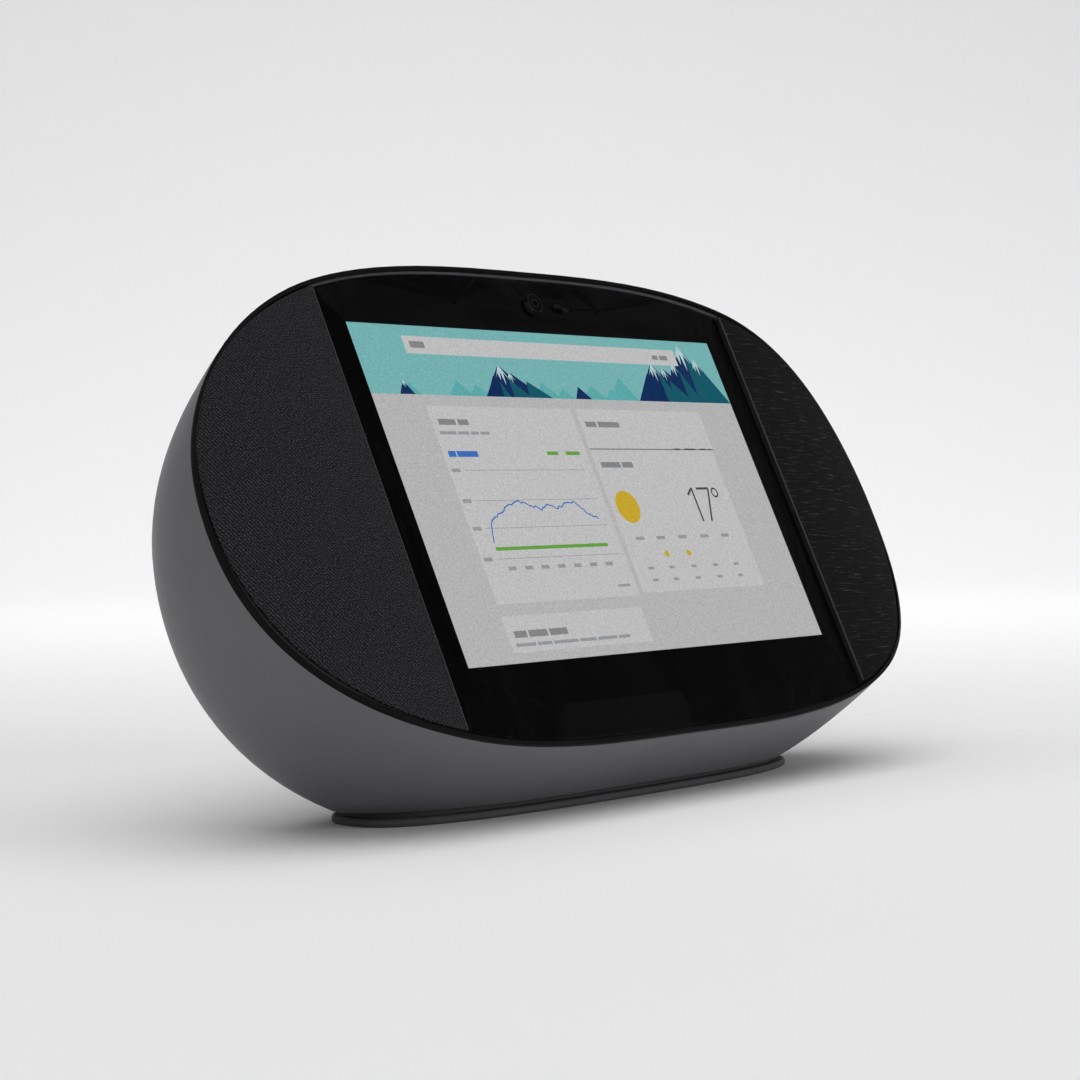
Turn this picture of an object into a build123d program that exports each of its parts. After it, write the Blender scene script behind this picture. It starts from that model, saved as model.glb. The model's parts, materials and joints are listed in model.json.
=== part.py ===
"""Countertop smart speaker with a touch display: leaning oval front, rounded shell, flat foot.

World frame: +X to the right as seen from the front, +Y to the back, +Z up.
The origin is on the table, under the middle of the foot. All sizes are millimetres.
"""

from build123d import *
import math
import os

os.makedirs("parts", exist_ok=True)

# ---------------------------------------------------------------- driving dimensions
LEAN = 25.15                 # the front leans back by this angle
SCREEN_Y, SCREEN_Z = -17.4, 94.2   # middle of the screen, on the front surface
SCREEN_W, SCREEN_H = 172.3, 107.7  # 8-inch 16:10 picture

RIM_X = 157.1                # half width of the shell's rim
RIM_T = 77.7                 # half height of the shell's rim
RIM_V = -3.1                 # the rim's middle, up the front from the screen's middle
RIM_UPPER = (2.99, 2.24)     # powers of the rim's upper half, across and up
RIM_LOWER = (3.62, 2.09)     # powers of the rim's lower half

GLASS_HALF = 96.4            # the flat glass ends here and the cloth wings begin
WING_BEND = 8.64             # how far the wings bend back at the rim

SHELL_DEPTH = 68.0           # depth of the shell behind the front, along its normal
SHELL_SKEW = 0.10            # the back turns upright by this slope
SHELL_DROP = -20.0           # the back's middle sits this much further down the front
SLANT = -SHELL_DROP / SHELL_DEPTH   # the rim's walls lean by this slope
BACK_POWER_X, BACK_POWER_V = 3.72, 3.8   # how square the shell is from front to back
BACK_ROUND = 2.05            # power of the outline at the back, nearly an ellipse
BACK_CUT = 0.985             # share of the depth where the back goes flat
SECTION_SHARES = (0, 0.12, 0.26, 0.40, 0.53, 0.65, 0.75, 0.84, 0.91, 0.955, BACK_CUT)
OUTLINE_POINTS = 28
WALL = 2.6                   # shell wall
LIP = 1.2                    # rim lip in front of the ledge
REVEAL = 0.7                 # dark line between the lip and the front panels

SHELL_FLOOR = 4.2            # underside of the shell, above the table
FOOT_X, FOOT_Y = 100.0, 25.0  # half sizes of the foot, the same outline as the shell's underside
FOOT_MIDDLE = -5.2
FOOT_POWER = 2.7
FOOT_T = 2.4                 # thickness of the rubber foot

GLASS_T = 1.8
MASK_T = 0.15
LCD_W, LCD_H, LCD_T = 184.0, 116.0, 2.8
LCD_DROP = -1.5              # the panel's wider border is at the bottom
BAFFLE_FRONT, BAFFLE_BACK = -2.9, -10.0
SENSOR_V = 63.6              # height of the camera row, up the front
MIC_X = 33.9
LIGHT_X = 14.7

DRIVER_X, DRIVER_V = 126.0, -4.0
DRIVER_R = 26.0
DRIVER_SINK = 5.2            # driver flange below the front surface

RADIATOR_V = -18.0           # middle of the rear radiator, up the front
RADIATOR_W, RADIATOR_H = 116.0, 58.0

BUTTON_T = 0.30              # depth share of the volume buttons' row, on the shell's crest
SHUTTER_T = 0.24
SHUTTER_X, SHUTTER_TRAVEL = -19.0, 10.0   # knob's place when open, and how far it slides
MUTE_TRAVEL = 3.0
PRESS = 0.5                  # travel of a volume button
INLET_X, INLET_Z = 58.0, 20.0
INLET_Y = 26.7               # the shell's outer surface there


# ---------------------------------------------------------------- frames and outlines
lean = math.radians(LEAN)
FRONT = Plane(
    origin=(0, SCREEN_Y, SCREEN_Z),
    x_dir=(1, 0, 0),
    z_dir=(0, -math.cos(lean), math.sin(lean)),
)


def on_front(shape):
    """Moves a shape drawn in the front's frame (x across, y up the front, z out) to the world."""
    return FRONT.location * shape


def save(name, *shapes):
    """Writes one sub-part made of the given solids."""
    solids = [s for shape in shapes for s in shape.solids()]
    export_step(solids[0] if len(solids) == 1 else Compound(children=solids), f"parts/{name}.step")


def loop_wire(points):
    return Wire([Spline(*points, periodic=True)])


def rounded(base, power):
    return abs(base) ** power * (1 if base >= 0 else -1)


def rim_points(inset=0.0):
    """Points of the rim's outline, moved in by inset along the outline's own normal."""
    points = []
    for i in range(OUTLINE_POINTS):
        a = 2 * math.pi * i / OUTLINE_POINTS
        p, q = RIM_UPPER if math.sin(a) >= 0 else RIM_LOWER
        x = RIM_X * rounded(math.cos(a), 2 / p)
        v = RIM_T * rounded(math.sin(a), 2 / q)
        nx = p / RIM_X * rounded(x / RIM_X, p - 1)
        nv = q / RIM_T * rounded(v / RIM_T, q - 1)
        size = math.hypot(nx, nv)
        points.append((x - inset * nx / size, RIM_V + v - inset * nv / size))
    return points


def rim_prism(inset, low, high, slant=0.0):
    """The rim's outline, moved in by inset, as a prism between two heights.

    With a slant it follows the shell, which drops down the front as it goes back.
    """
    face = Face(loop_wire([(x, v + slant * low, low) for x, v in rim_points(inset)]))
    return extrude(face, amount=(high - low) * math.hypot(1, slant), dir=(0, slant, 1))


def bent_slab(front, back, reach=170.0):
    """A slab between two heights that is flat behind the glass and bends back under the wings."""
    drop = -WING_BEND * ((reach - GLASS_HALF) / (RIM_X - GLASS_HALF)) ** 2
    knee = (reach + GLASS_HALF) / 2

    def profile(height, side):
        start = (side * GLASS_HALF, -100, height)
        return Bezier(start, (side * knee, -100, height), (side * reach, -100, height + drop))

    edges = [Line((-GLASS_HALF, -100, h), (GLASS_HALF, -100, h)) for h in (front, back)]
    edges += [profile(h, s) for h in (front, back) for s in (-1, 1)]
    edges += [Line((s * reach, -100, front + drop), (s * reach, -100, back + drop)) for s in (-1, 1)]
    face = Face(Wire(edges))
    return extrude(face, amount=200, dir=(0, 1, 0))


def bend_at(x):
    """Height of the front surface at a distance from the middle."""
    over = max(0.0, abs(x) - GLASS_HALF) / (RIM_X - GLASS_HALF)
    return -WING_BEND * over**2


def box(x0, x1, y0, y1, z0, z1):
    return Pos((x0 + x1) / 2, (y0 + y1) / 2, (z0 + z1) / 2) * Box(x1 - x0, y1 - y0, z1 - z0)


def rod(radius, low, high, x=0.0, y=0.0):
    return Pos(x, y, (low + high) / 2) * Cylinder(radius, high - low)


def tube(outer, inner, low, high):
    return rod(outer, low, high) - rod(inner, low - 1, high + 1)


def pill(length, width, low, high):
    """A slot-shaped block, long across x."""
    return Pos(0, 0, low) * extrude(SlotOverall(length, width), amount=high - low)


# ---------------------------------------------------------------- the shell's surface
def shell_section(depth_share, inset):
    """Closed section of the shell at a share of its depth."""
    across = RIM_X - inset
    up = RIM_T - inset
    depth = SHELL_DEPTH - inset
    wide = across * (1 - depth_share**BACK_POWER_X) ** (1 / BACK_POWER_X)
    tall = up * (1 - depth_share**BACK_POWER_V) ** (1 / BACK_POWER_V)
    blend = depth_share**2
    points = []
    for i in range(OUTLINE_POINTS):
        a = 2 * math.pi * i / OUTLINE_POINTS
        p, q = RIM_UPPER if math.sin(a) >= 0 else RIM_LOWER
        p = p + (BACK_ROUND - p) * blend
        q = q + (BACK_ROUND - q) * blend
        x = wide * rounded(math.cos(a), 2 / p)
        v = RIM_V + SHELL_DROP * depth_share + tall * rounded(math.sin(a), 2 / q)
        points.append((x, v, -(depth - SHELL_SKEW * v) * depth_share))
    return loop_wire(points)


def shell_body(inset=0.0):
    """The full egg behind the front, before its front and underside are cut."""
    return Solid.make_loft([shell_section(share, inset) for share in SECTION_SHARES])


def crest_frame(x, depth_share):
    """Frame on the shell's upper surface in the front's frame: z is the surface's normal."""

    def point(x, share):
        wide = RIM_X * (1 - share**BACK_POWER_X) ** (1 / BACK_POWER_X)
        tall = RIM_T * (1 - share**BACK_POWER_V) ** (1 / BACK_POWER_V)
        p = RIM_UPPER[0] + (BACK_ROUND - RIM_UPPER[0]) * share**2
        q = RIM_UPPER[1] + (BACK_ROUND - RIM_UPPER[1]) * share**2
        v = RIM_V + SHELL_DROP * share + tall * (1 - abs(x / wide) ** p) ** (1 / q)
        return Vector(x, v, -(SHELL_DEPTH - SHELL_SKEW * v) * share)

    here = point(x, depth_share)
    across = point(x + 0.5, depth_share) - point(x - 0.5, depth_share)
    back = point(x, depth_share + 0.005) - point(x, depth_share - 0.005)
    return Plane(origin=here, x_dir=across.normalized(), z_dir=across.cross(back).normalized())


def foot_points(inset, height):
    points = []
    for i in range(40):
        a = 2 * math.pi * i / 40
        x = (FOOT_X - inset) * rounded(math.cos(a), 2 / FOOT_POWER)
        y = (FOOT_Y - inset) * rounded(math.sin(a), 2 / FOOT_POWER)
        points.append((x, FOOT_MIDDLE + y, height))
    return points


def foot_prism(inset, low, high):
    return extrude(Face(loop_wire(foot_points(inset, low))), amount=high - low, dir=(0, 0, 1))


# ---------------------------------------------------------------- frames of the controls
VOLUME_UP = crest_frame(46.0, BUTTON_T)
VOLUME_DOWN = crest_frame(24.0, BUTTON_T)
BUTTON_MID = crest_frame(35.0, BUTTON_T)
MUTE = crest_frame(-36.0, BUTTON_T)
SHUTTER = crest_frame(SHUTTER_X + SHUTTER_TRAVEL / 2, SHUTTER_T)

BACK_NORMAL = Vector(0, SHELL_SKEW, -1).normalized()
BACK_POINT_W = -(SHELL_DEPTH - SHELL_SKEW * RADIATOR_V) * BACK_CUT
RADIATOR = Plane(origin=(0, RADIATOR_V, BACK_POINT_W), x_dir=(-1, 0, 0), z_dir=BACK_NORMAL)


def driver_frame(side):
    """Frame of a driver: origin in the flange's front plane, z out along the driver's axis."""
    slope = 2 * WING_BEND * (DRIVER_X - GLASS_HALF) / (RIM_X - GLASS_HALF) ** 2
    normal = Vector(side * slope, 0, 1).normalized()
    origin = Vector(side * DRIVER_X, DRIVER_V, bend_at(DRIVER_X)) - normal * DRIVER_SINK
    return Plane(origin=origin, x_dir=Vector(1, 0, -side * slope).normalized(), z_dir=normal)


SIDES = {"left": -1, "right": 1}


# ---------------------------------------------------------------- housing
BUTTONS = (VOLUME_UP, VOLUME_DOWN)
BUTTON_L, BUTTON_W = 17.0, 6.5
BUTTON_BOSS_X = 24.0         # bosses of the button board, from its middle
BASE_SCREWS = [(x, y) for x in (-55, 55) for y in (-20.5, 10.5)] + [(-90.5, -5), (90.5, -5)]
BOARD_POSTS = [(x, v) for x in (-66, 66) for v in (-30, 32)]
PLATE_INSET = 3.0            # the base plate's rim, in from the foot's outline: the dark gap
PLUG_INSET = 13.0            # the base plate's plug, in from the foot's outline
FLOOR_TOP = SHELL_FLOOR + 3.0


def above(height):
    return box(-200, 200, -200, 200, height, 300)


def rear_shell():
    """Moulded shell: one wall with a rim ledge, a floor, and openings for what passes through."""
    shell = shell_body() - bent_slab(0, 40)
    shell -= rim_prism(LIP, -40, 5, SLANT) & bent_slab(BAFFLE_BACK, 5)
    shell = on_front(shell) & above(SHELL_FLOOR)
    shell -= on_front(shell_body(WALL)) & above(FLOOR_TOP)
    shell -= foot_prism(PLUG_INSET, 0, FLOOR_TOP + 1)
    for x, y in BASE_SCREWS:
        shell += rod(2.8, FLOOR_TOP - 0.5, FLOOR_TOP + 4, x, y)
        shell -= rod(1.3, 0, FLOOR_TOP + 3.5, x, y)
    for frame in BUTTONS:
        shell -= on_front(frame.location * pill(BUTTON_L + 0.4, BUTTON_W + 0.4, -6, 4))
    shell -= on_front(MUTE.location * pill(7.4 + MUTE_TRAVEL, 4.9, -6, 4))
    shell -= on_front(SHUTTER.location * pill(8.4 + SHUTTER_TRAVEL, 4.8, -6, 4))
    for x in (-BUTTON_BOSS_X, BUTTON_BOSS_X):
        shell += on_front(BUTTON_MID.location * rod(1.8, -6.8, -WALL + 0.6, x, 0))
    shell -= on_front(RADIATOR.location * pill(RADIATOR_W - 4, RADIATOR_H - 4, -9, 5))
    shell -= inlet_rod(8.1, -20, 20)
    return shell


def inlet_rod(radius, start, end):
    """A rod along the inlet's axis, between two depths from the shell's outer surface."""
    middle = INLET_Y + (start + end) / 2
    return Pos(INLET_X, middle, INLET_Z) * Rot(90, 0, 0) * Cylinder(radius, end - start)


def base_plate():
    plate = foot_prism(PLATE_INSET, FOOT_T, SHELL_FLOOR)
    plate += foot_prism(PLUG_INSET + 0.3, SHELL_FLOOR, FLOOR_TOP)
    for x, y in BASE_SCREWS:
        plate -= rod(1.4, 0, 12, x, y) + rod(2.7, 0, FOOT_T + 1.2, x, y)
    return plate


def base_screws():
    return [
        rod(2.4, FOOT_T, FOOT_T + 1.1, x, y) + rod(1.2, FOOT_T + 1.1, FLOOR_TOP + 3.2, x, y)
        for x, y in BASE_SCREWS
    ]


def base_weight():
    return foot_prism(PLUG_INSET + 2.5, FLOOR_TOP, FLOOR_TOP + 4.5)


def rubber_foot():
    foot = foot_prism(0, 0, FOOT_T)
    rims = foot.edges().filter_by(GeomType.BSPLINE)
    rims = [e for e in rims if abs(e.center().Z - FOOT_T) < 0.01 or abs(e.center().Z) < 0.01]
    return fillet(rims, 0.9)


# ---------------------------------------------------------------- front stack
def glass_area(inset, low, high):
    half = GLASS_HALF - 0.2
    return rim_prism(LIP + REVEAL + inset, low, high) & box(inset - half, half - inset, -90, 90, low, high)


def screen_window(low, high):
    return box(-SCREEN_W / 2, SCREEN_W / 2, -SCREEN_H / 2, SCREEN_H / 2, low, high)


def sensor_holes(camera, light, mic, low, high):
    """Cutters for the row of camera, light window and microphones above the screen."""
    cut = rod(camera, low, high, 0, SENSOR_V)
    cut += Pos(LIGHT_X, SENSOR_V, 0) * pill(*light, low, high)
    for x in (-MIC_X, MIC_X):
        cut += rod(mic, low, high, x, SENSOR_V)
    return cut


def cover_glass():
    glass = glass_area(0, -GLASS_T, 0)
    for x in (-MIC_X, MIC_X):
        glass -= rod(0.5, -3, 1, x, SENSOR_V)
    front = [e for e in glass.edges() if abs(e.center().Z) < 0.01 and e.length > 20]
    return chamfer(front, 0.25)


def bezel_mask():
    """Black border film behind the glass."""
    back = -GLASS_T - MASK_T
    film = glass_area(0, back, -GLASS_T) - screen_window(-5, 0)
    return film - sensor_holes(2.9, (8.0, 3.2), 0.5, -5, 0)


LCD_FRONT = -2.0
LCD_BACK = LCD_FRONT - LCD_T
TRAY_X, TRAY_V = 95.0, 60.0  # half sizes of the tray behind the panel


def cable_slot(low, high):
    return box(-17, 17, -51, -46, low, high)


def tray_block(grow, low, high):
    half_v = TRAY_V + grow
    return box(-TRAY_X - grow, TRAY_X + grow, LCD_DROP - half_v, LCD_DROP + half_v, low, high)


def lcd_panel():
    low, high = LCD_DROP - LCD_H / 2, LCD_DROP + LCD_H / 2
    return box(-LCD_W / 2, LCD_W / 2, low, high, LCD_BACK, LCD_FRONT)


def display_bracket():
    tray = tray_block(0, LCD_BACK - 1.1, -2.7)
    half_w, half_h = LCD_W / 2 + 0.3, LCD_H / 2 + 0.3
    tray -= box(-half_w, half_w, LCD_DROP - half_h, LCD_DROP + half_h, LCD_BACK - 0.1, 0)
    return tray - cable_slot(-8, 0)


def display_cable():
    """Flat ribbon from the panel's back through the bracket to the main board's edge."""
    foot = box(-15, 15, -50, -47.6, LCD_BACK - 0.35, LCD_BACK)
    run = box(-15, 15, -47.9, -47.6, -15.2, LCD_BACK - 0.35)
    tail = box(-15, 15, -47.9, -32.0, -15.5, -15.2)
    return foot + run + tail


def display_tape():
    """Foam tape that holds the glass to the baffle, around the display's pocket."""
    tape = glass_area(0.8, BAFFLE_FRONT, -GLASS_T - MASK_T)
    tape -= tray_block(0.4, -5, 0)
    tape -= box(-25, 20, 58, 68.6, -5, 0)
    for x in (-MIC_X, MIC_X):
        tape -= rod(2.6, -5, 0, x, SENSOR_V)
    return tape


def front_baffle():
    """Moulded plate that carries the display, the sensors and the two drivers."""
    plate = bent_slab(BAFFLE_FRONT, BAFFLE_BACK) & rim_prism(LIP + 0.3, -30, 5, SLANT)
    plate -= tray_block(0.4, -6.1, 0)
    plate -= box(-58, 58, -24, 26, -20, 0)
    plate -= cable_slot(-20, 0)
    plate -= box(-4.7, 4.7, SENSOR_V - 4.2, SENSOR_V + 4.2, -20, 0)
    plate -= box(LIGHT_X - 3.9, LIGHT_X + 3.9, SENSOR_V - 1.6, SENSOR_V + 1.6, -20, 0)
    plate -= box(SHUTTER_X - 2.4, SHUTTER_X + 2.4 + SHUTTER_TRAVEL, 65.0, 67.9, -20, 0)
    for x in (-MIC_X, MIC_X):
        plate -= rod(2.1, -20, 0, x, SENSOR_V) + rod(3.2, -20, -8.6, x, SENSOR_V)
    for x, v in BOARD_POSTS:
        plate += rod(3.2, -13.0, BAFFLE_BACK + 0.5, x, v)
        plate -= rod(1.25, -20, -7.5, x, v)
    for side in SIDES.values():
        frame = driver_frame(side).location
        plate -= frame * (rod(DRIVER_R + 0.4, -2.3, 12) + rod(23.5, -12, 0))
        for x, y in driver_screw_spots():
            plate -= frame * rod(0.95, -4.7, 0, x, y)
    return plate


def wing_area(side, inset, front, back):
    """The part of the bent front that lies outside the glass."""
    near, far = sorted((side * (GLASS_HALF + 0.4), side * 170.0))
    prism = rim_prism(LIP + REVEAL + inset, -30, 5, SLANT)
    return bent_slab(front, back) & prism & box(near, far, -90, 90, -30, 5)


def grille_frame(side):
    """Moulded frame behind the cloth: a round window for the driver and rows of slots."""
    frame = wing_area(side, 0.3, -0.8, BAFFLE_FRONT)
    window = Pos(side * DRIVER_X, DRIVER_V, 0) * rod(22.5, -20, 5)
    near, far = sorted((side * 101.0, side * 170.0))
    slots = [box(near, far, v - 1.5, v + 1.5, -20, 5) for v in range(-60, 61, 6)]
    field = rim_prism(9.0, -30, 5) - Pos(side * DRIVER_X, DRIVER_V, 0) * rod(26.0, -40, 10)
    for slot in slots:
        frame -= slot & field
    return frame - window


def grille_cloth(side):
    return wing_area(side, 0, 0, -0.8)


# ---------------------------------------------------------------- sensors behind the glass
def camera_module():
    body = box(-4.2, 4.2, SENSOR_V - 3.8, SENSOR_V + 3.8, BAFFLE_BACK, -3.4)
    barrel = Pos(0, SENSOR_V, 0) * tube(3.2, 2.3, -3.4, -2.7)
    return body + barrel


def camera_lens():
    lens = rod(2.25, -3.4, -2.75, 0, SENSOR_V)
    return fillet([e for e in lens.edges() if abs(e.center().Z + 2.75) < 0.01], 0.3)


def sensor_board():
    board = box(-42, 42, SENSOR_V - 4.6, SENSOR_V + 3.9, BAFFLE_BACK - 0.8, BAFFLE_BACK)
    return board - box(SHUTTER_X - 3, SHUTTER_X + 3 + SHUTTER_TRAVEL, 64.2, 70, -20, 0)


def microphones():
    return [
        box(x - 2, x + 2, SENSOR_V - 1.5, SENSOR_V + 1.5, BAFFLE_BACK, BAFFLE_BACK + 1.1)
        for x in (-MIC_X, MIC_X)
    ]


def mic_boots():
    """Rubber tubes that lead sound from the glass to the microphones."""
    back = BAFFLE_BACK + 1.1
    return [Pos(x, SENSOR_V, 0) * tube(2.0, 0.6, back, -GLASS_T - MASK_T) for x in (-MIC_X, MIC_X)]


def light_pipe():
    return Pos(LIGHT_X, SENSOR_V, 0) * pill(7.4, 2.8, BAFFLE_BACK, -2.0)


def shutter_arm():
    return box(SHUTTER_X - 2, SHUTTER_X + 2, 65.4, 67.4, -15.0, -2.1)


def shutter_blade():
    """Thin blade in front of the camera, with the arm that leads back to its knob."""
    blade = box(SHUTTER_X - 2, SHUTTER_X + 14, SENSOR_V - 3.4, SENSOR_V + 3.8, -2.5, -2.1)
    return blade + shutter_arm()


def shutter_knob():
    at_rest = SHUTTER.location * Pos(-SHUTTER_TRAVEL / 2, 0, 0)
    knob = fillet(pill(8.0, 4.4, -4.0, 1.4).faces().sort_by(Axis.Z)[-1].edges(), 0.5)
    return at_rest * knob - shutter_arm()


# ---------------------------------------------------------------- controls on the crest
def volume_button(frame):
    cap = fillet(pill(BUTTON_L, BUTTON_W, -3.4, 0.8).faces().sort_by(Axis.Z)[-1].edges(), 0.4)
    return frame.location * (cap + pill(BUTTON_L + 3, BUTTON_W + 2.5, -4.6, -3.4))


def button_board():
    half = BUTTON_BOSS_X + 2.5
    board = box(-half, half, -5, 5, -8.0, -6.8)
    switches = [box(x - 3, x + 3, -3, 3, -6.8, -5.0 - PRESS) for x in (-11, 11)]
    return [BUTTON_MID.location * piece for piece in (board, *switches)]


def mute_knob():
    at_rest = MUTE.location * Pos(-MUTE_TRAVEL / 2, 0, 0)
    knob = fillet(pill(7.0, 4.5, -3.4, 1.3).faces().sort_by(Axis.Z)[-1].edges(), 0.5)
    ridges = [box(x - 0.3, x + 0.3, -3, 3, 0.9, 2) for x in (-1.2, 0, 1.2)]
    for ridge in ridges:
        knob -= ridge
    return at_rest * (knob + box(-6, 6, -3.5, 3.5, -4.2, -3.3))


def mute_switch():
    return MUTE.location * box(-8, 8, -4, 4, -9.0, -4.6)


# ---------------------------------------------------------------- drivers
def turned(points):
    """Revolves a profile of radius and height points about z."""
    face = make_face(Polyline(*[(r, 0, z) for r, z in points], close=True))
    return revolve(face, Axis.Z)


def driver_screw_spots():
    angles = [math.radians(a) for a in (45, 135, 225, 315)]
    return [(24.6 * math.cos(a), 24.6 * math.sin(a)) for a in angles]


def driver_basket():
    profile = [
        (21.0, 0), (26.0, 0), (26.0, -1.5), (23.2, -1.5), (17.6, -10.0), (17.6, -13.2),
        (8.0, -13.2), (8.0, -12.0), (16.2, -12.0), (16.2, -9.6), (21.0, -2.3),
    ]
    basket = turned(profile)
    for i in range(6):
        basket -= Rot(0, 0, 30 + 60 * i) * box(12, 30, -5.5, 5.5, -9.0, -3.2)
    for x, y in driver_screw_spots():
        basket -= rod(1.0, -3, 1, x, y)
    return basket


def driver_surround():
    """Half-roll edge between the cone and the basket."""
    roll = turned([(16.2, 0), (23.0, 0), (23.0, 0.5), (16.2, 0.5)])
    ring = Pos(0, 0, 0.2) * (Torus(18.9, 2.1) - Torus(18.9, 1.6))
    roll -= tube(20.6, 17.2, -1, 2)
    return roll + (ring & above(0.2) & rod(30, 0, 10))


def driver_cone():
    return turned([
        (6.9, -8.9), (7.6, -8.9), (15.9, -0.9), (15.9, 0.2),
        (15.3, 0.2), (15.3, -0.7), (7.3, -8.2), (6.9, -8.2),
    ])


def dust_cap():
    dome = Pos(0, 0, -19.5) * (Sphere(14.7) - Sphere(14.2))
    return dome & rod(8.2, -7.3, 0)


def voice_coil():
    return tube(6.9, 6.6, -20.5, -8.0) + tube(7.3, 6.8, -19.0, -14.6)


def driver_gasket():
    gasket = tube(26.0, 23.4, -2.3, -1.5)
    for x, y in driver_screw_spots():
        gasket -= rod(1.0, -3, 1, x, y)
    return gasket


def driver_yoke():
    return rod(17, -26.4, -23.4) + rod(6.2, -23.4, -13.4)


def driver_screws():
    return [
        driver_frame(side).location * (rod(1.5, 0, 1.1, x, y) + rod(0.9, -4.6, 0, x, y))
        for side in SIDES.values()
        for x, y in driver_screw_spots()
    ]


# ---------------------------------------------------------------- rear radiator
def stadium(cut, low, high):
    """A pill smaller than the radiator's outline by a cut on every side."""
    return pill(RADIATOR_W - 2 * cut, RADIATOR_H - 2 * cut, low, high)


def radiator_frame():
    inside = RADIATOR.location.inverse() * shell_body(WALL + 0.1)
    flange = stadium(-1.5, -5.6, -WALL - 0.2) & inside
    frame = flange + stadium(2.3, -WALL - 0.2, 0.6) - stadium(9, -8, 2) - stadium(5, -3.4, 2)
    top = frame.faces().sort_by(Axis.Z)[-1]
    return fillet(top.edges(), 0.4)


def roll_ring(cut_out, cut_in, low, high, edge):
    ring = stadium(cut_out, low, high) - stadium(cut_in, low - 1, high + 1)
    return fillet(ring.faces().sort_by(Axis.Z)[-1].edges(), edge)


def radiator_surround():
    roll = roll_ring(7.5, 14.5, -3.4, 0.2, 3.45) - roll_ring(8.3, 13.7, -3.5, -0.6, 2.6)
    outer = stadium(5.3, -3.4, -2.8) - stadium(7.6, -5, 0)
    inner = stadium(14.4, -3.4, -2.8) - stadium(15.0, -5, 0)
    return roll + outer + inner


def radiator_plate():
    plate = stadium(15.3, -5.0, -1.9)
    plate = fillet(plate.faces().sort_by(Axis.Z)[-1].edges(), 0.5)
    return plate - stadium(18.5, -2.7, 0)


def radiator_weight():
    return stadium(21.0, -11.0, -5.0)


# ---------------------------------------------------------------- electronics
BOARD_FRONT, BOARD_BACK = -13.0, -14.6


def main_board():
    board = box(-72, 72, -36, 38, BOARD_BACK, BOARD_FRONT)
    for x, v in BOARD_POSTS:
        board -= rod(1.4, -20, 0, x, v)
    return board


def board_chips():
    """Packages on the board's back, each a place, a width, a height and a thickness."""
    spots = [
        (34, 14, 12, 12, 1.4), (34, -8, 10, 14, 1.2), (-44, 16, 14, 12, 2.0),
        (-46, -12, 8, 8, 3.0), (52, 6, 7, 7, 3.5), (-10, -24, 26, 6, 2.2),
    ]
    return [
        box(x - w / 2, x + w / 2, v - h / 2, v + h / 2, BOARD_BACK - t, BOARD_BACK)
        for x, v, w, h, t in spots
    ]


SHIELD = (-25, 15, -12, 22)  # the processor's can, seen from the front
SHIELD_BACK = BOARD_BACK - 2.8
FINS, FIN_T = 8, 2.0


def processor_shield():
    return box(*SHIELD, SHIELD_BACK, BOARD_BACK)


def heat_sink():
    left, right, low, high = SHIELD
    foot = SHIELD_BACK - 2.0
    pitch = (right - left - FIN_T) / (FINS - 1)
    sink = box(*SHIELD, foot, SHIELD_BACK)
    for i in range(FINS):
        x = left + i * pitch
        sink += box(x, x + FIN_T, low, high, foot - 8.6, foot)
    return sink


def board_screws():
    return [
        rod(2.3, BOARD_BACK - 1.6, BOARD_BACK, x, v) + rod(1.2, BOARD_BACK, -8.0, x, v)
        for x, v in BOARD_POSTS
    ]


def antennas():
    return [box(x - 12, x + 12, 40.4, 46.4, BAFFLE_BACK - 0.8, BAFFLE_BACK) for x in (-84, 84)]


AMP_Z = 22.0
AMP_POSTS = [(x, y) for x in (-48, 8) for y in (-11, 1)]


def amplifier_board():
    return box(-54, 14, -16, 14, AMP_Z, AMP_Z + 1.6)


def amplifier_posts():
    return [rod(2.2, FLOOR_TOP + 4.5, AMP_Z, x, y) for x, y in AMP_POSTS]


def amplifier_parts():
    top = AMP_Z + 1.6
    coils = [box(x - 4, x + 4, -8, 0, top, top + 5) for x in (-40, -28)]
    cans = [rod(4, top, top + 10, x, 8) for x in (-34, -22)]
    chip = box(-14, -2, -6, 6, top, top + 1.8)
    return coils + cans + [chip]


def inlet_cup():
    """Round recess for the power plug, flush with the shell outside."""
    cup = inlet_rod(7.9, -10, 10) & (on_front(shell_body()))
    return cup - inlet_rod(6.2, -7.5, 20) - inlet_rod(4.4, -12, 0)


def dc_jack():
    block = box(INLET_X - 5, INLET_X + 5, INLET_Y - 21, INLET_Y - 10.2, INLET_Z - 6, INLET_Z + 6)
    socket = inlet_rod(3.1, -17, 0) - inlet_rod(1.0, -18, -7.5)
    return block + inlet_rod(4.2, -12, -6.5) - socket


# ---------------------------------------------------------------- write every sub-part
FRONT_PARTS = {
    "cover_glass": cover_glass, "bezel_mask": bezel_mask, "lcd_panel": lcd_panel,
    "display_bracket": display_bracket, "display_cable": display_cable, "display_tape": display_tape,
    "front_baffle": front_baffle, "camera_module": camera_module, "camera_lens": camera_lens,
    "sensor_board": sensor_board, "microphones": microphones, "mic_boots": mic_boots,
    "light_pipe": light_pipe, "shutter_blade": shutter_blade, "shutter_knob": shutter_knob,
    "button_board": button_board, "mute_knob": mute_knob, "mute_switch": mute_switch,
    "main_board": main_board, "board_chips": board_chips, "processor_shield": processor_shield,
    "heat_sink": heat_sink, "board_screws": board_screws, "antennas": antennas,
    "driver_screws": driver_screws,
}
WORLD_PARTS = {
    "rear_shell": rear_shell, "base_plate": base_plate, "base_screws": base_screws,
    "base_weight": base_weight, "rubber_foot": rubber_foot, "amplifier_board": amplifier_board,
    "amplifier_posts": amplifier_posts, "amplifier_parts": amplifier_parts,
    "inlet_cup": inlet_cup, "dc_jack": dc_jack,
}
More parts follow.
